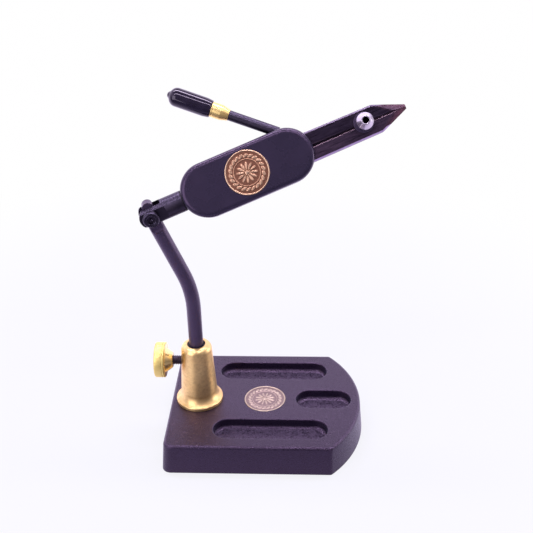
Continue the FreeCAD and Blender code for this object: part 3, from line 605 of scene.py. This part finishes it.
def thread(name, radius, low, high, pitch, depth, matrix, material, body):
    """Threaded rod whose ridges follow a helix."""
    around = 48
    rows_per_turn = 10
    rows = int((high - low) / pitch * rows_per_turn)
    points = []
    for row in range(rows + 1):
        height = low + (high - low) * row / rows
        for turn, angle in enumerate(around_axis(around)):
            phase = (height / pitch - turn / around) % 1.0
            ridge = abs(2 * phase - 1)
            # Flat crests and roots with straight flanks between them
            sunk = min(1.0, max(0.0, 1.25 * ridge - 0.125))
            points.append(round_point(radius - depth * sunk, angle, height))
    faces = tube_faces(rows + 1, around)
    faces += [end_face(0, around, downward=True), end_face(rows, around)]
    return make_piece(name, points, faces, matrix, material, body, sharp=60)


stud = thread("stud_thread", QUARTER_INCH_RADIUS, STUD_START, STUD_END, SCREW_PITCH, 0.5, THUMB,
              BLACK, "thumb_screw")
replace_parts(stud, "thumb_stud")


def thumb_knob():
    """Turned knob: cone hub, a shallow groove in the rim near it, a dished outer face."""
    face = HUB_END + HUB_LENGTH
    back = face + KNOB_THICKNESS
    groove = KNOB_RADIUS - 0.18
    outline = [
        # Radius, height, radius of the rounded corner
        (ON_AXIS, HUB_END, 0), (5.1, HUB_END, 0.5), (8.4, face - 0.2, 0), (8.4, face, 0.3),
        (KNOB_RADIUS, face, 0.7), (KNOB_RADIUS, face + 1.3, 0.1), (groove, face + 1.45, 0),
        (groove, face + 1.7, 0), (KNOB_RADIUS, face + 1.85, 0.1), (KNOB_RADIUS, back, 0.9),
        (8.6, back, 0.4), (8.0, back - 0.7, 0.4), (ON_AXIS, back - 0.9, 0)]
    profile = [(radius, height) for radius, height, corner in outline]
    corners = [corner for radius, height, corner in outline]
    points, faces = lathe(rounded(profile, corners), 128)
    knob = make_piece("turned_knob", points, faces, THUMB, KNOB, "thumb_screw")
    knob.data.materials.append(RIM)
    for polygon in knob.data.polygons:
        if polygon.center.to_2d().length > (KNOB_RADIUS - 0.6) * MM:
            polygon.material_index = 1
    return knob


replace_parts(thumb_knob(), "thumb_knob")


# Medallions

def leaf_height(share, angle):
    """How far the band of slanted leaves stands above the ground."""
    count = 22
    middle = 0.74
    slant = 3.2
    phase = (angle * count / (2 * math.pi) + (share - middle) * slant) % 1.0
    across = abs(phase - 0.5) * 2
    along = abs(share - middle) / 0.10
    leaf = 1 - (across ** 1.6 + along ** 2)
    return 0.26 * min(1.0, max(0.0, leaf * 2.2))


def rosette_height(share, angle):
    """How far the rosette of petals and the boss in it stand above the ground."""
    count = 12
    reach = 0.52
    boss = 0.2
    length = share / reach
    if length < boss:
        return 0.34 * math.sqrt(max(0.0, 1 - (length / boss) ** 2))
    if length > 1:
        return 0.0
    phase = (angle * count / (2 * math.pi)) % 1.0
    across = abs(phase - 0.5) * 2
    width = 0.92 * math.sin(math.pi * min(1.0, 0.30 + 0.70 * (length - boss) / 0.8))
    petal = 1 - across / max(width, 0.02)
    if petal <= 0:
        return 0.0
    vein = 0.08 * max(0.0, 1 - across / 0.12)
    return 0.28 * min(1.0, petal * 1.8) * min(1.0, (1 - length) * 5) - vein


def relief(radius, r, angle):
    """Height of the medallion's surface below its rim, in millimetres."""
    rim = 0.9
    ground = -0.38
    share = r / radius
    if r > radius - rim:
        edge = min(1.0, max(0.0, (radius - r) / rim * 0.9 + 0.05))
        return -0.28 * (1 - math.sin(math.pi * edge)) ** 1.5
    if share > 0.86:
        return ground
    if share > 0.62:
        return ground + leaf_height(share, angle)
    if share > 0.57:
        # A bead between the leaves and the rosette
        return ground + 0.2 * math.sin(math.pi * (share - 0.57) / 0.05)
    return ground + rosette_height(share, angle)


def medallion(name, radius, matrix, body, material):
    """Disc with its relief on top; its outline is that of the solid."""
    rows = 84
    around = 264
    angles = around_axis(around)
    points = []
    for row in range(rows + 1):
        r = max(ON_AXIS, radius * row / rows)
        points += [round_point(r, angle, relief(radius, r, angle)) for angle in angles]
    for height in (-0.35, -MEDALLION_THICKNESS):
        points += [round_point(radius, angle, height) for angle in angles]
    rings = rows + 3
    faces = tube_faces(rings, around, inward=True)
    faces.append(end_face(rings - 1, around, downward=True))
    return make_piece(name, points, faces, matrix, material, body, sharp=40)


head_disc = medallion("head_rosette_medallion", HEAD_MEDALLION[1],
                      HEAD @ place(HEAD_MEDALLION[0], 0, HOUSING_HALF + MEDALLION_STAND),
                      "head", BRONZE)
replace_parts(head_disc, "head_medallion")
base_disc = medallion("base_rosette_medallion", BASE_MEDALLION[1],
                      place(BASE_MEDALLION[0], 0, BASE_TOP + MEDALLION_STAND),
                      "base", PALE_BRONZE)
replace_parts(base_disc, "base_medallion")


# Cone nut

def cone_nut():
    """Nut with a grey collar, a bright cone on it and a round bore painted dark as shade."""
    low = NUT_BOTTOM
    top = low + NUT_HEIGHT
    outside = 5.2
    mouth = 2.75
    bore = 2.0
    collar = 7.0
    depth = 5.0
    profile = [
        (2.5, low), (outside, low), (outside, low + collar), (mouth, top), (bore, top),
        (bore, top - depth), (ON_AXIS, top - depth)]
    points, faces = lathe(rounded(profile, [0, 0.3, 0.35, 0.35, 0.3, 0, 0]))
    nut = make_piece("turned_cone_nut", points, faces, HEAD @ place(FULCRUM[0], FULCRUM[1], 0), NUT,
                     "head")
    nut.data.materials.append(PAINTED_SHADE_BORE)
    nut.data.materials.append(WASHER)
    for face in nut.data.polygons:
        spot = face.center
        out = spot.to_2d().length
        # The bore's walls and floor get the near-black painted shade
        if out < (bore + 0.03) * MM and spot.z < (top - 0.3) * MM:
            face.material_index = 1
        if out > (outside - 0.1) * MM and spot.z < (low + collar - 0.2) * MM:
            face.material_index = 2
    return nut


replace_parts(cone_nut(), "jaw_nut")


# Knuckle screw

def cap_screw():
    """Screw with a rounded cap, a turned ring on its face and a drilled hexagon socket."""
    around = 96
    low = KNUCKLE_FLAT
    high = low + 3.6
    cap_flat = 3.75
    corner = 1.4
    corner_height = low + 2.2
    profile = [(ON_AXIS, KNUCKLE_SCREW_END), (QUARTER_INCH_RADIUS, KNUCKLE_SCREW_END),
               (QUARTER_INCH_RADIUS, low), (5.0, low), (5.15, low + 0.15)]
    for step in range(7):
        angle = math.radians(90 * step / 6)
        profile.append((cap_flat + corner * math.cos(angle),
                        corner_height + corner * math.sin(angle)))
    profile += [(3.45, high), (3.35, high - 0.18), (3.15, high - 0.18), (3.05, high), (2.86, high)]
    hexagon = (len(profile), len(profile) + 1)
    profile += [(2.38, high - 0.28), (2.38, high - 1.7), (1.9, high - 1.75), (1.1, high - 1.8),
                (0.9, high - 2.0), (ON_AXIS, high - 2.4)]
    points, faces = lathe(profile, around)
    for row in hexagon:
        radius, height = profile[row]
        for turn, angle in enumerate(around_axis(around)):
            off_flat = (angle + math.pi / 6) % (math.pi / 3) - math.pi / 6
            points[row * around + turn] = round_point(radius / math.cos(off_flat), angle, height)
    return make_piece("socket_cap_screw", points, faces, KNUCKLE, BLACK, "knuckle",
                      sharp=30)


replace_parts(cap_screw(), "knuckle_screw")


# Spring between the tails of the jaws

def coil_spring():
    wire = 0.45
    radius = 1.7
    turns = 8
    sides = 10
    steps = turns * 28
    reach = SPRING_HALF - wire
    points = []
    for step in range(steps + 1):
        angle = 2 * math.pi * turns * step / steps
        height = -SPRING_HALF + wire + 2 * reach * step / steps
        for phase in around_axis(sides):
            points.append(round_point(radius + wire * math.cos(phase), angle,
                                      height + wire * math.sin(phase)))
    faces = tube_faces(steps + 1, sides)
    faces += [end_face(0, sides, downward=True), end_face(steps, sides)]
    upright = Matrix.Rotation(math.radians(-90), 4, "X")
    return make_piece("coil_spring", points, faces, HEAD @ place(SPRING_S, JAW_RISE, 0) @ upright,
                      SPRING, "head", sharp=80)


spring = coil_spring()
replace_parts(spring, "jaw_spring")
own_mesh(spring)


# Lever ferrule and grip

def ferrule():
    """Brass cone on the lever's bar, with a groove near its grip end."""
    low = FERRULE_START
    high = low + FERRULE_LENGTH
    inside = QUARTER_INCH_RADIUS
    outside = 4.75
    groove = 4.6
    profile = [(inside, low), (3.45, low), (outside, low + 5.0), (outside, high - 1.6),
               (groove, high - 1.45), (groove, high - 1.15), (outside, high - 1.0), (outside, high),
               (inside, high)]
    points, faces = lathe(rounded(profile, [0, 0.12, 2.5, 0.08, 0, 0, 0.08, 0.2, 0]))
    return make_piece("turned_ferrule", points, faces, LEVER, RING, "lever")


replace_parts(ferrule(), "lever_ferrule")


def grip():
    """Dipped sleeve with a soft rolled lip, a domed end and a drip at the tip."""
    low = FERRULE_START + FERRULE_LENGTH
    end = low + GRIP_LENGTH
    radius = 5.9
    dome = end - 6.2
    profile = [(3.2, low), (5.15, low), (5.4, low + 0.5), (radius, low + 4.0), (radius, dome)]
    line = rounded(profile, [0, 0.3, 0.3, 3.0, 0])
    for step in range(1, 12):
        angle = math.radians(58 * step / 11)
        line.append((radius * math.cos(angle) ** 0.85, dome + 5.0 * math.sin(angle)))
    drip = [(2.6, 1.5), (2.05, 1.0), (1.65, 0.5), (1.1, 0.12), (ON_AXIS, 0.0)]
    line += [(out, end - short) for out, short in drip]
    points, faces = lathe(line)
    return make_piece("dipped_grip", points, faces, LEVER, GRIP, "lever",
                      sharp=50)


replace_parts(grip(), "lever_grip")


# Stage

class Stage(Nodes):
    """Nodes of the floor and the world, which look different in reflections."""

    def coordinate(self, kind):
        return self.add("ShaderNodeTexCoord").outputs[kind]

    def ray(self, name):
        return self.add("ShaderNodeLightPath").outputs[name]

    def seen_rays(self):
        """1 for rays that show the background: from the camera, in reflections, through glass."""
        first = self.math("MAXIMUM", self.ray("Is Camera Ray"), self.ray("Is Glossy Ray"))
        return self.math("MAXIMUM", first, self.ray("Is Transmission Ray"))

    def strength(self, reflected):
        """1 where the background is seen directly, and a given value in reflections."""
        extra = self.math("SUBTRACT", reflected, 1.0)
        unseen = self.math("SUBTRACT", 1.0, self.ray("Is Camera Ray"))
        return self.math("ADD", self.product(extra, unseen), 1.0)

    def color(self, target):
        """White where it is seen directly, and the faint lavender of the studio in reflections."""
        lavender = (0.90, 0.80, 1.0)
        white = (1.0, 0.997, 1.0)
        self.link(self.mix(self.ray("Is Camera Ray"), lavender, white), target)

    def blend(self, share, first, second, output):
        mixed = self.add("ShaderNodeMixShader")
        self.link(share, mixed.inputs["Fac"])
        self.link(first.outputs[0], mixed.inputs[1])
        self.link(second.outputs[0], mixed.inputs[2])
        self.link(mixed.outputs[0], self.tree.nodes[output].inputs["Surface"])


def floor_material():
    """Pale floor that keeps the shadow near the object and is lifted to white further out."""
    material = bpy.data.materials.new("pale_floor")
    material.use_nodes = True
    stage = Stage(material.node_tree)
    surface = stage.tree.nodes["Principled BSDF"]
    surface.inputs["Base Color"].default_value = (0.56, 0.56, 0.80, 1)
    surface.inputs["Roughness"].default_value = 0.9
    surface.inputs["Specular IOR Level"].default_value = 0.1
    glow = stage.add("ShaderNodeEmission")
    stage.color(glow.inputs["Color"])
    # In reflections the pale floor ends some way in front of the object and is brighter at its left
    spot = stage.coordinate("Object")
    reflected = stage.product(stage.fade(stage.part(spot, "Y"), (-0.25, 0.15), (0.15, 1.6)),
                              stage.fade(stage.part(spot, "X"), (-0.06, 0.03), (1.25, 1.0)))
    stage.link(stage.strength(reflected), glow.inputs["Strength"])
    share = stage.fade(stage.measure("LENGTH", spot), (0.15, 0.45), (0.82, 1.0))
    stage.blend(stage.product(stage.seen_rays(), share), surface, glow, "Material Output")
    return material


def lay_floor(size):
    half = size / 2
    mesh = bpy.data.meshes.new("floor")
    corners = [(-half, -half, 0), (half, -half, 0), (half, half, 0), (-half, half, 0)]
    mesh.from_pydata(corners, [], [(0, 1, 2, 3)])
    mesh.materials.append(floor_material())
    sheet = bpy.data.objects.new("floor", mesh)
    bpy.context.scene.collection.objects.link(sheet)


def studio_world():
    """Even pale light, with a studio of its own in the reflections."""
    world = bpy.data.worlds.new("studio")
    bpy.context.scene.world = world
    world.use_nodes = True
    stage = Stage(world.node_tree)
    light = stage.tree.nodes["Background"]
    light.inputs["Color"].default_value = (0.95, 0.93, 1.0, 1)
    light.inputs["Strength"].default_value = 0.28
    backdrop = stage.add("ShaderNodeBackground")
    stage.color(backdrop.inputs["Color"])
    # Reflections show a white sweep behind and above, a dim ceiling and a dim room in front
    ray = stage.coordinate("Generated")
    toward_sweep = stage.measure("DOT_PRODUCT", ray, (-0.08, 0.80, 0.60))
    sweep = stage.fade(toward_sweep, (-0.5, 0.9), (0.28, 1.8))
    ceiling = stage.fade(stage.part(ray, "Z"), (0.50, 0.90), (1.0, 0.20))
    stage.link(stage.strength(stage.product(sweep, ceiling)), backdrop.inputs["Strength"])
    stage.blend(stage.seen_rays(), light, backdrop, "World Output")


def lamp(name, at, aim, size, watts, color=(1, 1, 1)):
    """Soft rectangular lamp; the place it hangs at, its aim and its size are in metres."""
    data = bpy.data.lights.new(name, "AREA")
    data.shape = "RECTANGLE"
    data.size, data.size_y = size
    data.energy = watts
    data.color = color
    lamp_object = bpy.data.objects.new(name, data)
    bpy.context.scene.collection.objects.link(lamp_object)
    lamp_object.location = at
    direction = Vector(aim) - Vector(at)
    lamp_object.rotation_euler = direction.to_track_quat("-Z", "Y").to_euler()


LILAC = (0.95, 0.88, 1.0)
PALE_LILAC = (0.96, 0.91, 1.0)

lay_floor(8.0)
studio_world()
lamp("overhead_strip", at=(0.05, 0.34, 1.25), aim=(0.03, 0, 0.15), size=(1.6, 0.20), watts=16,
     color=LILAC)
lamp("front_strip", at=(0.05, -0.50, 1.20), aim=(0.03, 0, 0.15), size=(1.6, 0.10), watts=7,
     color=LILAC)
lamp("left_softbox", at=(-0.72, -0.90, 0.40), aim=(0, 0, 0.12), size=(0.9, 1.1), watts=8,
     color=PALE_LILAC)
lamp("right_softbox", at=(1.15, 0.25, 0.30), aim=(0.1, 0, 0.05), size=(0.6, 0.5), watts=3)

scene = bpy.context.scene
scene.view_settings.view_transform = "Standard"
